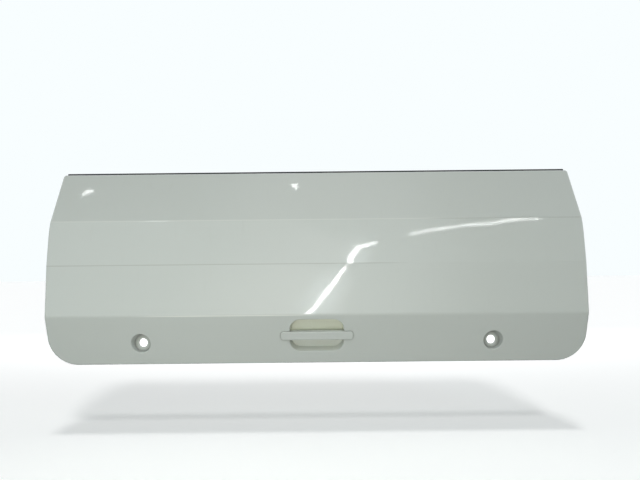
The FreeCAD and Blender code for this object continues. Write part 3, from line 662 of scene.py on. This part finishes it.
def light(name, kind, at, energy, colour):
    """A lamp that lights the door without showing in the camera or in the gloss."""
    data = bpy.data.lights.new(name, kind)
    data.energy = energy
    data.color = colour
    obj = bpy.data.objects.new(name, data)
    bpy.context.scene.collection.objects.link(obj)
    obj.matrix_world = at
    obj.visible_camera = False
    obj.visible_glossy = False
    return data


def soft_box(name, place, target, size, power, colour=(1, 1, 1)):
    """A rectangular lamp aimed at a target, with its size in metres and its power in watts."""
    data = light(name, "AREA", aimed(place, target), power, colour)
    data.shape = "RECTANGLE"
    data.size, data.size_y = size


def sun(name, height, turn, strength, softness):
    """A far soft light: its height over the horizon and its turn to the right, in degrees."""
    height = math.radians(height)
    turn = math.radians(turn)
    place = Vector((math.sin(turn) * math.cos(height), -math.cos(turn) * math.cos(height),
                    math.sin(height)))
    light(name, "SUN", aimed(place, (0, 0, 0)), strength, (1, 1, 1)).angle = math.radians(softness)


def only_reflected(obj):
    """Let nothing see a stage object but the gloss of the door."""
    obj.visible_camera = False
    obj.visible_diffuse = False
    obj.visible_shadow = False
    obj.visible_transmission = False


def glowing(name, strength, colour, alpha=None):
    """A material that only glows; alpha makes it fade out."""
    look = Look(name)
    surface = look.add("ShaderNodeEmission", Color=colour, Strength=strength).outputs[0]
    if alpha:
        mix = look.nodes.new("ShaderNodeMixShader")
        clear = look.add("ShaderNodeBsdfTransparent").outputs[0]
        for socket, given in zip(mix.inputs, (alpha(look), clear, surface)):
            look.join(given, socket)
        surface = mix.outputs[0]
    look.show(surface)
    return look.material


def strip(name, line, widths, strength):
    """A bent strip light in front of the door, seen only as its reflection.

    Its line has (x, z) points on the wall, and its width goes from the first to the last.
    """
    bm = bmesh.new()
    edges = []
    for i, (x, z) in enumerate(line):
        before = Vector(line[max(i - 1, 0)])
        after = Vector(line[min(i + 1, len(line) - 1)])
        along = (after - before).normalized()
        width = widths[0] + (widths[1] - widths[0]) * i / (len(line) - 1)
        half = Vector((along.y, 0, -along.x)) * (width / 2)
        here = Vector((x, WALL_Y, z))
        edges.append((bm.verts.new(here - half), bm.verts.new(here + half)))
    for (a, b), (c, d) in zip(edges, edges[1:]):
        bm.faces.new((a, b, d, c))
    obj = mesh_object(name, bm, smooth=False)
    obj.data.materials.append(glowing(name, strength, WHITE))
    only_reflected(obj)


def card(name, centre, right, up, strength, fade, behind, colour=WHITE):
    """A flat card in front of the door, seen only as its reflection.

    centre, right and up are (x, z) on the wall: where it is, and half its width and height. fade is
    how far in from its left, right, bottom and top edges it fades, as a share of those halves.
    behind is how far it stands behind the wall.
    """
    bm = bmesh.new()
    bmesh.ops.create_grid(bm, x_segments=1, y_segments=1, size=1)
    obj = mesh_object(name, bm, smooth=False)
    obj.matrix_world = Matrix((
        (right[0], up[0], 0, centre[0]),
        (0, 0, 1, WALL_Y - behind),
        (right[1], up[1], 0, centre[1]),
        (0, 0, 0, 1),
    ))

    def faded(look):
        across, along, _ = look.axes()
        left, right_edge, bottom, top = fade
        shares = (
            look.eased(across, -1, -1 + left), look.eased(across, 1, 1 - right_edge),
            look.eased(along, -1, -1 + bottom), look.eased(along, 1, 1 - top),
        )
        sides = look.calc("MULTIPLY", shares[0], shares[1])
        ends = look.calc("MULTIPLY", shares[2], shares[3])
        return look.calc("MULTIPLY", sides, ends)

    obj.data.materials.append(glowing(name, strength, colour, faded))
    only_reflected(obj)


def studio():
    """The lamps, and what the gloss mirrors: a dim ceiling and right-hand side, a window with
    bright edges, and the streaks and glints."""
    white_world()
    floor()
    sun("key", 46, 6, 0.55, 10)
    sun("top", 79, 0, 0.45, 8)
    soft_box("front", (-0.15, -3.2, -0.30), (0.05, 0, -0.3), (1.5, 0.8), 19, (1.0, 0.955, 0.78))
    soft_box("side_left", (-2.2, -2.7, -0.3), (-0.5, 0, -0.3), (0.8, 0.8), 3.5, (0.35, 0.88, 1.0))
    soft_box("side_right", (2.2, -2.7, 0.7), (0.6, 0, -0.3), (0.8, 1.0), 9, (0.78, 0.96, 1.0))
    soft_box("low_left", (-0.5, -1.9, -0.72), (-0.2, 0, -0.5), (1.0, 0.3), 12, (0.98, 1.0, 0.96))
    soft_box("back", (0, 2.8, -0.2), (0, 0, -0.3), (2.4, 0.8), 26)
    card("ceiling", (0, 4.3), (5.5, 0.0), (0.0, 1.6), 0.25, (0.2, 0.2, 0.5, 0.2), 0.3)
    card("ceiling_middle", (0.1, 4.3), (1.9, 0.0), (0.0, 1.3), 0.8, (0.7, 0.7, 0.4, 0.4), 0.2)
    card("window_low", (-0.55, 0.0), (0.85, 0.0), (0.22, 0.34), 1.8, (1.7, 0.10, 0.3, 0.2), 0.15)
    card("window_high", (-0.30, 1.0), (0.80, 0.0), (0.20, 0.30), 1.8, (1.7, 0.15, 0.3, 0.3), 0.15)
    card("far_side", (2.6, 1.6), (1.9, 0.0), (0.5, 3.4), 0.25, (0.5, 0.2, 0.2, 0.2), 0.2)
    card("halo_low", (0.03, -0.05), (0.15, -0.12), (0.27, 0.31), 4.5, (1, 1, 1, 1), 0.05, HALO_COLOUR)
    card("halo_middle", (0.32, 0.93), (0.16, -0.06), (0.10, 0.26), 3.5, (1, 1, 1, 1), 0.05, HALO_COLOUR)
    strip("streak_low", [(-0.17, -0.28), (-0.05, -0.15), (0.06, -0.02), (0.22, 0.17)], (0.012, 0.020), 60)
    strip("streak_middle", [(0.265, 0.78), (0.275, 0.93), (0.32, 1.0), (0.50, 1.045)], (0.026, 0.008), 50)
    strip("streak_high", [(0.79, 1.12), (1.2, 1.18), (1.63, 1.24), (1.94, 1.26)], (0.007, 0.012), 30)
    strip("glint_left", [(-2.80, 4.31), (-2.67, 4.38)], (0.05, 0.07), 18)
    strip("glint_middle", [(-0.33, 4.46), (-0.27, 4.38)], (0.03, 0.045), 30)
    strip("glint_crease", [(-1.60, 2.1), (-1.43, 2.1)], (0.5, 0.5), 12)


looks = dress_frame()
add_pieces(looks)
camera()
studio()
bpy.context.scene.view_settings.view_transform = "Standard"
